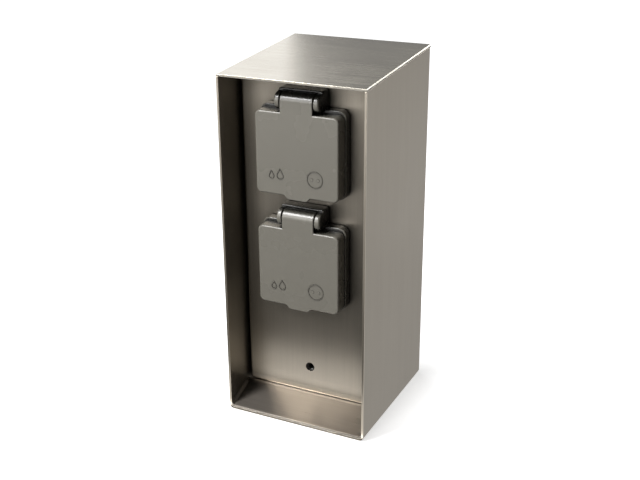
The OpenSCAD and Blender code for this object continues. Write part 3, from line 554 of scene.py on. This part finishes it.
def lid_cap():
    """Cap: the lid's outline with a rounded face edge, draft on its walls, and a hollow inside. The
    profile runs from the face over the edge and down the wall, round the lip, and back up inside."""
    outline = rounded_outline(rectangle(-LID_HALF, LID_FOOT, LID_HALF, LID_TOP), LID_CORNER, 8)
    lip = fillet(-LIP_EDGE, LID_REAR, 3)
    profile = np.concatenate([fillet(LID_EDGE, LID_FACE, 8), lip[::-1] + [-LID_DRAFT, 0],
                              lip * [-1, 1] + [LID_WALL - LID_DRAFT, 0],
                              [(LID_WALL, LID_FACE + LID_WALL)]])
    return turned(shell(rings(outline, profile)), XZY)


def lid_barrel():
    """Barrel and tongue: a circle of 297 degrees that runs off into two straight lines, carried
    along the hinge axis, with rounded ends. The tongue's back lies at the distance reach from the
    axis, so it meets the circle at drop below it: the root of radius squared less reach squared."""
    tongue_back = LID_FACE + TONGUE_THICKNESS
    reach = tongue_back - AXIS_DEPTH
    drop = math.sqrt(BARREL_RADIUS ** 2 - reach ** 2)
    leave = math.degrees(math.atan2(-drop, reach))
    low = LID_TOP - TONGUE_ROOT
    curl = arc((AXIS_DEPTH, AXIS_HEIGHT), BARREL_RADIUS, 180, leave, 60)
    back = straight((tongue_back, AXIS_HEIGHT - drop - TONGUE_START), (tongue_back, low), (1, 0))
    front = straight((LID_FACE + FLUSH, low), (-1, 0))
    ends = [fillet(BARREL_EDGE, -BARREL_HALF, 5), fillet(-BARREL_EDGE, BARREL_HALF, 5)[::-1]]
    return turned(shell(rings(joined(curl, back, front), np.concatenate(ends))), YZX)


def thumb_tab():
    """Tab: a plate that widens upwards into the cap, with a rounded lower edge."""
    low, shoulder, root = LID_FOOT - TAB_DROP, LID_FOOT + TAB_SHOULDER, LID_FOOT + TAB_ROOT
    corners = [(-TAB_TIP_HALF, low), (TAB_TIP_HALF, low), (TAB_ROOT_HALF, shoulder),
               (TAB_ROOT_HALF, root), (-TAB_ROOT_HALF, root), (-TAB_ROOT_HALF, shoulder)]
    outline = rounded_outline(corners, TAB_RADII, 5)
    back = LID_FACE + TONGUE_THICKNESS
    ends = [fillet(TAB_EDGE, LID_FACE + FLUSH, 4), fillet(-TAB_EDGE, back, 4)[::-1]]
    return turned(shell(rings(outline, np.concatenate(ends))), XZY)


# %% [markdown]
# The real lids carry raised marks low on their faces. In their place go two plain signs of the
# builder's own: a drop for rain on the left, and a ring with two dots, which stands for a plug, on
# the right. Each is a low ridge: a rounded bead carried along a closed line.

# %% Raised signs
SUNK = 0.05
BEAD_WIDTH, BEAD_HEIGHT = 0.55, 0.32
DOT_HEIGHT, DOT_EDGE = 0.22, 0.12
DROPS = ((-17.5, -15.2, 1.7), (-11.5, -14.6, 2.2))
PLUG_RING = (12.5, -14.2, 5.2)
PLUG_PINS = ((10.3, -14.2, 1.0), (14.7, -14.2, 1.0))


def bead(line):
    """Bead along a closed line: its section is a low trapezium, offset across the line's normal,
    with its two feet sunk a little into the lid's face."""
    points, normals = line
    across = np.array([-0.5, -0.25, 0.25, 0.5]) * BEAD_WIDTH
    rise = np.array([SUNK, -BEAD_HEIGHT, -BEAD_HEIGHT, SUNK])
    flat = points[None] + across[:, None, None] * normals[None]
    depth = np.broadcast_to((LID_FACE + rise)[:, None, None], (4, len(points), 1))
    return turned(shell(np.concatenate([flat, depth], 2), loop=True), XZY)


def drop_line(x, z, size):
    """A drop: a circle of radius size below, and two straight sides that meet at a point above it,
    touching the circle at 30 degrees above its centre."""
    return joined(arc((x, z), size, 150, 390, 28), straight((x, z + 2 * size), (0, 1)))


def ring_line(x, z, radius, steps=40):
    """A circle with its last point left off, because the first one closes it."""
    points, normals = arc((x, z), radius, 0, 360, steps)
    return points[:-1], normals[:-1]


def dot(x, z, radius):
    """A low disc with a rounded edge."""
    profile = np.concatenate([fillet(DOT_EDGE, LID_FACE - DOT_HEIGHT, 3), [(0, LID_FACE + SUNK)]])
    return turned(shell(rings(ring_line(x, z, radius, 20), profile)), XZY)


def lid_signs():
    """The two drops and the ring with its two dots, each given as (x, z, radius)."""
    drops = [bead(drop_line(*spot)) for spot in DROPS]
    return drops + [bead(ring_line(*PLUG_RING))] + [dot(*spot) for spot in PLUG_PINS]


# %% Both lids
for place, height in SOCKET_HEIGHTS.items():
    parts = [lid_cap(), lid_barrel(), thumb_tab()] + lid_signs()
    lid = piece(f"{place}_lid_moulding", moved(parts, height), f"{place}_lid_body", [f"{place}_lid"],
                grey_plastic)

# %% [markdown]
# ## Socket frames
# Under each lid sits the frame, a flat flange with a round rim that seals against the lid, a cup for
# the plug, and a hinge bracket: two D-shaped ears joined by a hood that shades the barrel from
# behind. The flange's face is a flat polygon with holes, and everything else is rings again: the
# rounded rectangle's points are carried on to a circle at the same angles.

# %% Flange, rim and cup
FRAME_HALF_WIDTH, FRAME_HALF_HEIGHT = 29.3, 28.25
FRAME_FACE, FRAME_BACK = -34.7, -29.0
FRAME_CORNER, FRAME_EDGE, FRAME_REAR_EDGE = 5.0, 0.8, 0.25
RIM_FACE, RIM_RADIUS, RECESS_RADIUS = -38.2, 22.4, 19.6
RIM_FOOT = ((0.3, 0), (0.08, 0.1), (0, 0.35))
RIM_ROUND = ((0, 0.5), (0.15, 0.15), (0.5, 0))
CUP_RADIUS, CUP_BACK = 21.4, -18.7
SCREW_PLACE, SCREW_ROOM, SCREW_SEAT = 22.0, 3.35, -32.9


def with_straight_points(corners, radius, steps, along):
    """A rounded outline whose straight sides are cut into along equal lengths as well, so that it
    can be joined to a circle: start + share * (finish - start) from each arc to the next one."""
    points, normals = (a.reshape(-1, steps + 1, 2) for a in rounded_outline(corners, radius, steps))
    share = np.linspace(0, 1, along + 1)[None, 1:-1, None]
    start, finish = points[:, -1:], np.roll(points[:, :1], -1, 0)
    side = start + share * (finish - start)
    side_normal = np.broadcast_to(normals[:, -1:], side.shape)
    return (np.concatenate([points, side], 1).reshape(-1, 2),
            np.concatenate([normals, side_normal], 1).reshape(-1, 2))


def flat_with_holes(loops, depth):
    """Triangles of a flat face at one depth, between an outer loop and the loops of its holes."""
    lines = [[Vector((x, z, 0)) for x, z in loop] for loop in loops]
    flat = np.concatenate([np.asarray(loop) for loop in loops])
    triangles = [list(t) for t in tessellate_polygon(lines)]
    return np.column_stack([flat, np.full(len(flat), depth)]), triangles


def socket_flange():
    """Closed surface in four parts that meet point on point: edge and face of the flange, screw
    hollows, and the rim and cup, whose rings are circles on the outline's angles. A circle is a
    ring that starts at the middle and is moved outwards by its radius. RIM_FOOT and RIM_ROUND are
    the small curves at the foot of the rim and on its two edges, as steps across and along it."""
    corners = rectangle(-FRAME_HALF_WIDTH, -FRAME_HALF_HEIGHT, FRAME_HALF_WIDTH, FRAME_HALF_HEIGHT)
    outline = with_straight_points(corners, FRAME_CORNER, 8, 24)
    angle = np.arctan2(outline[0][:, 1], outline[0][:, 0])
    unit = np.stack([np.cos(angle), np.sin(angle)], 1)
    rear = [(0, FRAME_BACK - FRAME_REAR_EDGE), (FRAME_REAR_EDGE, FRAME_BACK)]
    edge = rings(outline, np.concatenate([fillet(FRAME_EDGE, FRAME_FACE, 5), rear]))
    circles = [(RIM_RADIUS + out, FRAME_FACE - rise) for out, rise in RIM_FOOT]
    circles += [(RIM_RADIUS - inset, RIM_FACE + sink) for inset, sink in RIM_ROUND]
    circles += [(RECESS_RADIUS + inset, RIM_FACE + sink) for inset, sink in RIM_ROUND[::-1]]
    circles += [(RECESS_RADIUS, CUP_BACK), (CUP_RADIUS, CUP_BACK), (CUP_RADIUS, FRAME_BACK)]
    cup = rings((0 * unit, -unit), circles)
    back = np.stack([cup[-1], edge[-1]])
    hollow_lines = [ring_line(side * SCREW_PLACE, rise * SCREW_PLACE, SCREW_ROOM, 28)
                    for side in (-1, 1) for rise in (-1, 1)]
    sunk = [(0, FRAME_FACE), (0, SCREW_SEAT)]
    hollows = [shell(rings(line, sunk), close_ends=False) for line in hollow_lines]
    seats = [flat_with_holes([line[0]], SCREW_SEAT) for line in hollow_lines]
    holes = [cup[0, :, :2]] + [line[0] for line in hollow_lines]
    face = flat_with_holes([edge[0, :, :2]] + holes, FRAME_FACE)
    open_parts = [shell(part, close_ends=False) for part in (edge, cup, back)]
    return [turned(part, XZY) for part in open_parts + hollows + seats + [face]]


# %% Hinge bracket
EAR_IN, EAR_OUT, EAR_RADIUS = 11.6, 15.1, 5.8
EAR_BROW, EAR_NOSE_TOP, EAR_OUTER_EDGE, EAR_INNER_EDGE = 1.0, 5.9, 1.3, 0.45
HOOD_LOW, HOOD_TOP, HOOD_FRONT, HOOD_BORE = 26.45, 39.45, -37.0, 6.25
HOOD_BROW, HOOD_INTO_EAR = 0.55, 1.4
BOSS_RADIUS, BOSS_PROUD, BOSS_EDGE, BOSS_SUNK = 1.9, 0.12, 0.15, 0.1


def ear(side):
    """Ear: a D, round in front about the hinge axis and square behind, with a softly rounded outer
    edge; side is -1 on the left and 1 on the right."""
    step = math.degrees(math.acos((HOOD_FRONT - AXIS_DEPTH) / EAR_RADIUS))
    nose = arc((AXIS_DEPTH, AXIS_HEIGHT), EAR_RADIUS, -90, step - 360, 48)
    brow = arc((HOOD_FRONT + EAR_BROW, HOOD_TOP - EAR_BROW), EAR_BROW, 180, 90, 6)
    outline = joined(nose, straight((HOOD_FRONT, AXIS_HEIGHT + EAR_NOSE_TOP), (-1, 0)), brow,
                     straight((FRAME_BACK, HOOD_TOP), (0, 1)), straight((FRAME_BACK, HOOD_LOW), (0, -1)))
    ends = [fillet(EAR_OUTER_EDGE, -EAR_OUT, 6), fillet(-EAR_INNER_EDGE, -EAR_IN, 4)[::-1]]
    points, faces = shell(rings(outline, np.concatenate(ends)))
    return turned((points * [1, 1, -side], faces), YZX)


def hood():
    """Hood: a block with a round hollow about the hinge axis, whose upper lip shows as a bar. Its
    flat sides lie a hair inside the ears', so that the two never fight for one plane."""
    low_angle = -math.degrees(math.asin((AXIS_HEIGHT - HOOD_LOW) / HOOD_BORE))
    lip_angle = math.degrees(math.acos((HOOD_FRONT - AXIS_DEPTH) / HOOD_BORE))
    hollow = arc((AXIS_DEPTH, AXIS_HEIGHT), HOOD_BORE, low_angle, lip_angle, 30, hollow=True)
    top, foot = HOOD_TOP - FLUSH, HOOD_LOW + FLUSH
    brow = arc((HOOD_FRONT + HOOD_BROW, top - HOOD_BROW), HOOD_BROW, 180, 90, 5)
    outline = joined(hollow, brow, straight((FRAME_BACK, top), (0, 1)), straight((FRAME_BACK, foot), (0, -1)))
    ends = EAR_OUT - HOOD_INTO_EAR
    return turned(shell(rings(outline, [(0, -ends), (0, ends)])), YZX)


def pin_boss(side):
    """Faint round boss where the hinge pin ends in the outside of an ear."""
    profile = np.concatenate([fillet(BOSS_EDGE, -EAR_OUT - BOSS_PROUD, 3), [(0, -EAR_OUT + BOSS_SUNK)]])
    points, faces = shell(rings(ring_line(AXIS_DEPTH, AXIS_HEIGHT, BOSS_RADIUS, 28), profile))
    return turned((points * [1, 1, -side], faces), YZX)


# %% Both socket frames
for place, height in SOCKET_HEIGHTS.items():
    parts = [ear(-1), ear(1), hood(), pin_boss(-1), pin_boss(1)]
    body = piece(f"{place}_socket_moulding", moved(socket_flange() + parts, height), "column",
                 [f"{place}_socket_body"], grey_plastic)

# %% [markdown]
# ## Stage and light
# The column stands on a plain white floor in plain studio light. Metal shows its surroundings, so
# the light is built like a product photographer's: a white room, a broad lamp from above and in
# front, and one panel behind and to the left that the sloping roof mirrors as its bright corner.
# The floor takes the column's shadow. To the camera it also glows a little, so that it stays white,
# and the glow fades close to the column, where the floor and the walls shade each other. In the
# mirror of a sheet it is mostly an even white, which keeps the reflections calm.

# %% Floor
FLOOR_HALF, FLOOR_BELOW = 6.0, 0.0002
FLOOR_TONE = 0.82
COLUMN_HALF = (0.050, 0.052, 0)
GLOW_AT_COLUMN, GLOW_AWAY, GLOW_REACH = 0.57, 1.0, 0.03
MIRRORED_FLOOR, MIRRORED_SHARE = 0.85, 0.8


def distance_from_column(tree):
    """Distance from the column's foot: the length of max(|place| - half the column's size, 0)."""
    place = add(tree, "ShaderNodeTexCoord")
    either_side = add(tree, "ShaderNodeVectorMath", operation="ABSOLUTE")
    beyond = add(tree, "ShaderNodeVectorMath", operation="SUBTRACT")
    beyond.inputs[1].default_value = COLUMN_HALF
    outside = add(tree, "ShaderNodeVectorMath", operation="MAXIMUM")
    away = add(tree, "ShaderNodeVectorMath", operation="LENGTH")
    tree.links.new(place.outputs["Object"], either_side.inputs[0])
    tree.links.new(either_side.outputs["Vector"], beyond.inputs[0])
    tree.links.new(beyond.outputs["Vector"], outside.inputs[0])
    tree.links.new(outside.outputs["Vector"], away.inputs[0])
    return away.outputs["Value"]


def combined(tree, operation, first, second):
    """What the operation makes of two numbers, such as their product; the second may be plain."""
    node = add(tree, "ShaderNodeMath", operation=operation)
    tree.links.new(first, node.inputs[0])
    if isinstance(second, float):
        node.inputs[1].default_value = second
    else:
        tree.links.new(second, node.inputs[1])
    return node.outputs[0]


def studio_floor():
    """One square sheet under the column: matt white with a glow that only the camera sees, mixed
    with an even white for the rays that a mirror or a clear piece sends out."""
    mesh = bpy.data.meshes.new("floor")
    corners = np.array([(-1, -1, 0), (1, -1, 0), (1, 1, 0), (-1, 1, 0)]) * FLOOR_HALF
    mesh.from_pydata(corners - [0, 0, FLOOR_BELOW], [], [(0, 1, 2, 3)])
    floor = bpy.data.objects.new("floor", mesh)
    bpy.context.scene.collection.objects.link(floor)
    material, tree = bare_material("studio_floor")
    path = add(tree, "ShaderNodeLightPath")
    matt = add(tree, "ShaderNodeBsdfDiffuse", Color=(FLOOR_TONE, FLOOR_TONE, FLOOR_TONE, 1))
    glow = add(tree, "ShaderNodeEmission", Color=(1, 1, 1, 1))
    fade = remap(tree, distance_from_column(tree), GLOW_AT_COLUMN, GLOW_AWAY, 0.0, GLOW_REACH)
    lift = combined(tree, "MULTIPLY", path.outputs["Is Camera Ray"], fade)
    tree.links.new(lift, glow.inputs["Strength"])
    both = add(tree, "ShaderNodeAddShader")
    tree.links.new(matt.outputs[0], both.inputs[0])
    tree.links.new(glow.outputs[0], both.inputs[1])
    white = add(tree, "ShaderNodeEmission", Strength=MIRRORED_FLOOR)
    through = combined(tree, "MAXIMUM", path.outputs["Is Glossy Ray"], path.outputs["Is Transmission Ray"])
    mixed = add(tree, "ShaderNodeMixShader")
    tree.links.new(combined(tree, "MULTIPLY", through, MIRRORED_SHARE), mixed.inputs[0])
    tree.links.new(both.outputs[0], mixed.inputs[1])
    tree.links.new(white.outputs[0], mixed.inputs[2])
    out = add(tree, "ShaderNodeOutputMaterial")
    tree.links.new(mixed.outputs[0], out.inputs["Surface"])
    mesh.materials.append(material)
    print("floor in metres:", 2 * FLOOR_HALF)


studio_floor()

# %% [markdown]
# The room is white where the camera, a mirror or a clear piece sees it, and nearly dark as a lamp, so
# that the lamps alone shape the column.

# %% Room
ROOM_LIGHT, ROOM_SEEN = 0.05, 1.0

world = bpy.data.worlds.new("studio")
bpy.context.scene.world = world
world.use_nodes = True
tree = world.node_tree
backdrop = tree.nodes["Background"]
backdrop.inputs["Color"].default_value = (1, 1, 1, 1)
path = add(tree, "ShaderNodeLightPath")
seen = combined(tree, "MAXIMUM", path.outputs["Is Camera Ray"], path.outputs["Is Glossy Ray"])
seen = combined(tree, "MAXIMUM", seen, path.outputs["Is Transmission Ray"])
tree.links.new(remap(tree, seen, ROOM_LIGHT, ROOM_SEEN, 0, 1), backdrop.inputs["Strength"])
print("room as a lamp:", ROOM_LIGHT)


# %% Lamps
MIDDLE = (0, 0, 0.12)
SOCKETS = (0, 0, 0.14)
ROOF_RIGHT = (0.05, 0, 0.235)
CORNER_PLACE, CORNER_AIM = (-0.487, 0.3285, 0.50), (-0.257, -0.1165, 0.50)


def softbox(name, place, target, wide, high, radiance):
    """Rectangular area lamp at place, turned towards target, with its lengths in metres. Its power
    in watts is the radiance times pi times its area."""
    lamp = bpy.data.lights.new(name, "AREA")
    lamp.shape = "RECTANGLE"
    lamp.size, lamp.size_y = wide, high
    lamp.energy = radiance * math.pi * wide * high
    holder = bpy.data.objects.new(name, lamp)
    bpy.context.scene.collection.objects.link(holder)
    aim = Vector(target) - Vector(place)
    holder.visible_camera = False
    holder.matrix_world = Matrix.Translation(place) @ aim.to_track_quat("-Z", "Y").to_matrix().to_4x4()
    print(name, "watts:", round(lamp.energy, 2))


def around(azimuth, elevation, distance, centre=MIDDLE):
    """Point at a distance from the column's middle; azimuth 0 is straight behind it, and a positive
    azimuth is to its right."""
    turn, rise = math.radians(azimuth), math.radians(elevation)
    step = np.array([math.sin(turn) * math.cos(rise), math.cos(turn) * math.cos(rise), math.sin(rise)])
    return tuple(np.array(centre) + distance * step)


softbox("key lamp", around(-143, 45, 1.3), MIDDLE, wide=0.34, high=0.34, radiance=43.1488)
softbox("front lamp", around(-173, 11, 1.6), SOCKETS, wide=0.34, high=0.6, radiance=10)
softbox("corner lamp", CORNER_PLACE, CORNER_AIM, wide=0.5, high=0.55, radiance=1.7)
softbox("edge lamp", around(17, 25, 0.95, ROOF_RIGHT), ROOF_RIGHT, wide=0.22, high=0.36, radiance=7.9798)

# %% [markdown]
# Between the lamps stand plain cards, as a photographer sets boards round a mirror-like thing. None
# is seen by the camera or throws a shadow: each is there for what it puts into the steel. The broad
# ones give the sheets a calm grey to mirror, and those on the floor do so for the walls' lower half.
# Small bright ones draw the highlight along the barrels, the light on the right and the bright lip at
# the foot, and two black ones, one inside the right wall and one at the foot, keep dark what is dark on
# the real one.

# %% Grey cards
def card(name, grid, level, seen_by_matt=False):
    """A sheet through a grid of points that glows at the given level. Matt surfaces see it only
    where that is asked for."""
    rows, columns = grid.shape[:2]
    mesh = bpy.data.meshes.new(name)
    row, column = np.meshgrid(np.arange(rows - 1), np.arange(columns - 1), indexing="ij")
    corner = row * columns + column
    faces = np.stack([corner, corner + 1, corner + columns + 1, corner + columns], -1).reshape(-1, 4)
    mesh.from_pydata(grid.reshape(-1, 3), [], faces.tolist())
    board = bpy.data.objects.new(name, mesh)
    bpy.context.scene.collection.objects.link(board)
    material, tree = bare_material(name)
    glow = add(tree, "ShaderNodeEmission", Strength=level)
    out = add(tree, "ShaderNodeOutputMaterial")
    tree.links.new(glow.outputs[0], out.inputs["Surface"])
    mesh.materials.append(material)
    board.visible_camera = False
    board.visible_diffuse = seen_by_matt
    board.visible_shadow = False
    print(name, "level:", level)


def curved_card(azimuths, elevations, distance, steps=(24, 12)):
    """Grid of points on a sphere about the column's foot, between two azimuths and two elevations."""
    turn, rise = np.meshgrid(np.radians(np.linspace(*azimuths, steps[0])),
                             np.radians(np.linspace(*elevations, steps[1])))
    return distance * np.stack([np.sin(turn) * np.cos(rise), np.cos(turn) * np.cos(rise), np.sin(rise)], -1)


def floor_card(left_end, right_end, near, far, above=0.0005):
    """Flat grid just above the floor; near is the end at the column, and far the one in front."""
    x, y = np.meshgrid(np.linspace(left_end, right_end, 12), np.linspace(far, near, 12))
    return np.stack([x, y, np.full_like(x, above)], -1)


def wall_card(side, front, rear, low, high):
    """Flat upright grid that faces left and right, at the distance side from the middle."""
    y, z = np.meshgrid(np.linspace(front, rear, 4), np.linspace(low, high, 4))
    return np.stack([np.full_like(y, side), y, z], -1)


# %% Cards round the column, close to its sheets and on the floor
card("back card", curved_card(azimuths=(-80, 60), elevations=(3, 75), distance=1.3), level=0.42)
card("front card", curved_card(azimuths=(100, 260), elevations=(1, 75), distance=2.2), level=0.15)
card("hinge card", curved_card(azimuths=(195, 224), elevations=(14, 40), distance=1.25), level=6.5)
card("right flag", wall_card(side=0.048, front=-0.0515, rear=-0.030, low=0.004, high=0.226), level=0.0)
card("left floor card", floor_card(left_end=-0.7, right_end=0.05, near=-0.10, far=-0.24), level=0.10,
     seen_by_matt=True)
card("far floor card", floor_card(left_end=-0.7, right_end=0.05, near=-0.24, far=-0.60), level=0.35,
     seen_by_matt=True)
card("side card", curved_card(azimuths=(62, 98), elevations=(-4, 30), distance=0.9, steps=(12, 8)),
     level=2.5)
card("foot card", floor_card(left_end=-0.05, right_end=0.05, near=-0.0521, far=-0.0546), level=0.0)
card("lip card", floor_card(left_end=-0.055, right_end=0.05, near=-0.0548, far=-0.0590), level=3.0)
card("right floor card", floor_card(left_end=0.05, right_end=0.9, near=-0.12, far=-1.5), level=0.12,
     seen_by_matt=True)

# %% [markdown]
# ## Last steps
# The display transform is Standard, so a colour renders about as it is written.

# %% Finish
bpy.context.scene.view_settings.view_transform = "Standard"
